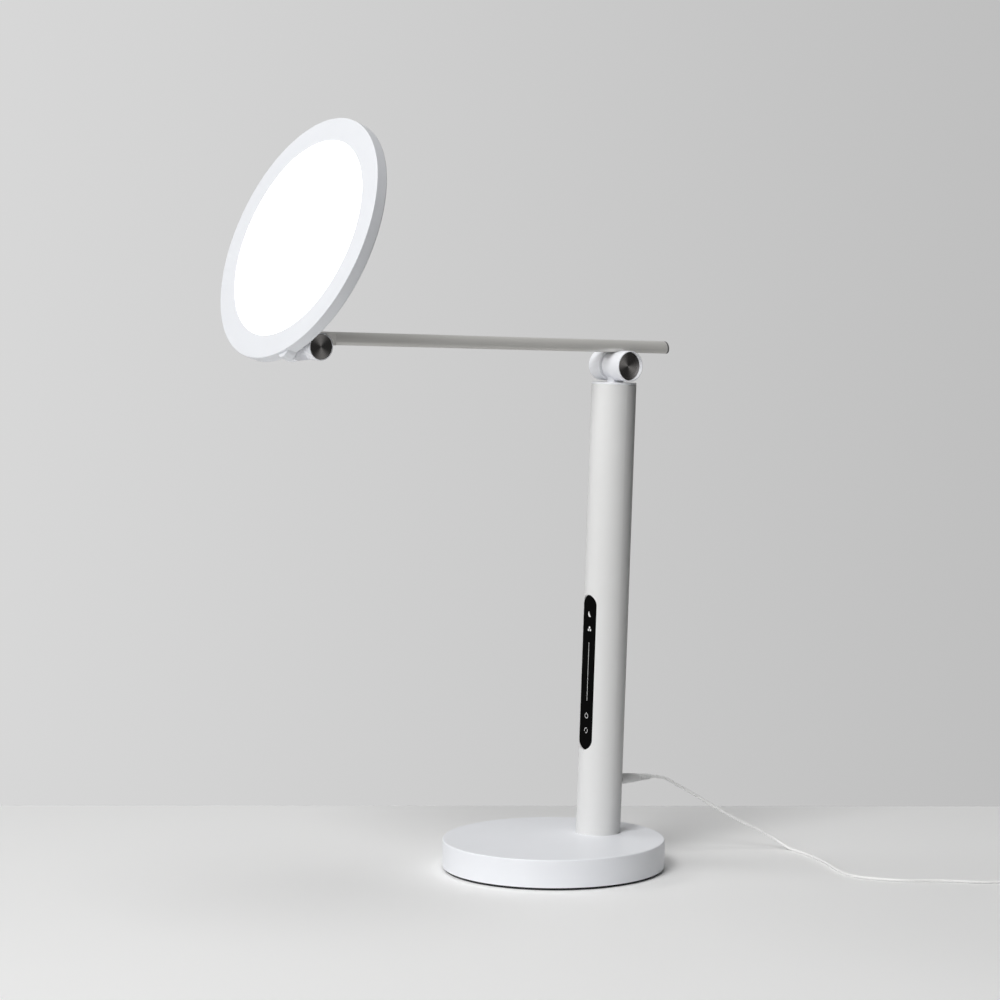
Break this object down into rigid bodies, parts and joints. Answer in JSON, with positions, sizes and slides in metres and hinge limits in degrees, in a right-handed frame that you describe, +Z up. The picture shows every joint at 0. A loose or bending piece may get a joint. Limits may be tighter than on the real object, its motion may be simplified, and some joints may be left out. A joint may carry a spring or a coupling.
{
  "type": "light therapy lamp",
  "caption": "Desk light therapy lamp: thin round light panel on a tilting, swivelling elbow, flat arm on a friction shoulder, touch-control stem and round weighted base, on a DC cord.",
  "frame": {"origin": "middle of the base's underside, on the table", "axes": "+Z up; the light faces -Y; both hinges turn about X"},
  "size_m": [0.5264, 0.5591, 0.5999],
  "materials": {
    "base_white": "satin moulded plastic",
    "pad_dark": "matt foam rubber",
    "plate_steel": "zinc-plated sheet",
    "weight_iron": "black-painted casting",
    "screw_steel": "nickel-plated",
    "foot_casting": "plain die casting",
    "stem_white": "satin white powder coat",
    "joint_white": "satin white paint on die castings",
    "bracket_white": "satin white paint on a die casting",
    "panel_black": "high gloss",
    "board_green": "solder mask",
    "spring_metal": "plated",
    "carrier_plastic": "natural moulding",
    "wire_black": "matt",
    "jack_black": "satin",
    "plug_grey": "satin moulding",
    "washer_nylon": "natural nylon",
    "cap_black": "black anodised, turned face",
    "ring_white": "satin white paint on a turned ring",
    "arm_metal": "satin anodised",
    "block_metal": "satin anodised, grey",
    "tail_dark": "satin",
    "head_white": "satin moulded plastic",
    "diffuser_white": "opal, satin",
    "guide_clear": "clear acrylic",
    "reflector_white": "matt film",
    "spreader_metal": "mill finish",
    "strip_white": "solder mask",
    "led_yellow": "phosphor",
    "cord_white": "satin jacket",
    "tie_white": "matt",
    "adapter_white": "satin moulding",
    "blade_metal": "nickel-plated"
  },
  "bodies": {
    "stand": {"base_cover": "base_white", "base_pad": "pad_dark", "base_plate": "plate_steel", "base_weight": "weight_iron", "base_screws": "screw_steel", "foot_bolts": "screw_steel", "stem_screws": "screw_steel", "board_screws": "screw_steel", "jack_nut": "screw_steel", "stem_foot": "foot_casting", "stem_tube": "stem_white", "neck": "joint_white", "touch_panel": "panel_black", "touch_board": "board_green", "main_board": "board_green", "touch_springs": "spring_metal", "board_carrier": "carrier_plastic", "stem_harness": "wire_black", "dc_jack": "jack_black", "dc_plug": "plug_grey", "cord_lead": "cord_white", "cord_coil": "cord_white", "cord_tail": "cord_white", "coil_tie": "tie_white", "adapter": "adapter_white", "adapter_blades": "blade_metal"},
    "arm": {"shoulder_pin": "screw_steel", "shoulder_nut": "screw_steel", "shoulder_spring_washers": "screw_steel", "cheek_screws": "screw_steel", "elbow_pin": "screw_steel", "elbow_nut": "screw_steel", "elbow_spring_washers": "screw_steel", "elbow_screws": "screw_steel", "shoulder_cheek_near": "joint_white", "shoulder_cheek_far": "joint_white", "elbow_cheek_near": "joint_white", "elbow_cheek_far": "joint_white", "arm_harness": "wire_black", "shoulder_washers": "washer_nylon", "elbow_washers": "washer_nylon", "shoulder_caps": "cap_black", "elbow_caps": "cap_black", "shoulder_rings": "ring_white", "elbow_rings": "ring_white", "arm_tube": "arm_metal", "elbow_block": "block_metal", "arm_tail_cap": "tail_dark"},
    "bracket": {"head_bracket": "bracket_white"},
    "head": {"swivel_pin": "screw_steel", "swivel_washer": "washer_nylon", "head_shell": "head_white", "head_bezel": "head_white", "head_screws": "screw_steel", "diffuser": "diffuser_white", "light_guide": "guide_clear", "reflector": "reflector_white", "heat_spreader": "spreader_metal", "led_strip": "strip_white", "led_chips": "led_yellow"}
  },
  "joints": [
    {"name": "shoulder_tilt", "type": "hinge", "parent": "stand", "child": "arm", "pos_m": [0, 0.06088, 0.40547], "axis": [1, 0, 0], "range_deg": [-60, 60]},
    {"name": "head_tilt", "type": "hinge", "parent": "arm", "child": "bracket", "pos_m": [0, -0.22783, 0.42622], "axis": [1, 0, 0], "range_deg": [-70, 112]},
    {"name": "head_swivel", "type": "hinge", "parent": "bracket", "child": "head", "pos_m": [0, -0.24386, 0.42192], "axis": [0, 0.9249, -0.3803], "range_deg": [-40, 80]}
  ]
}
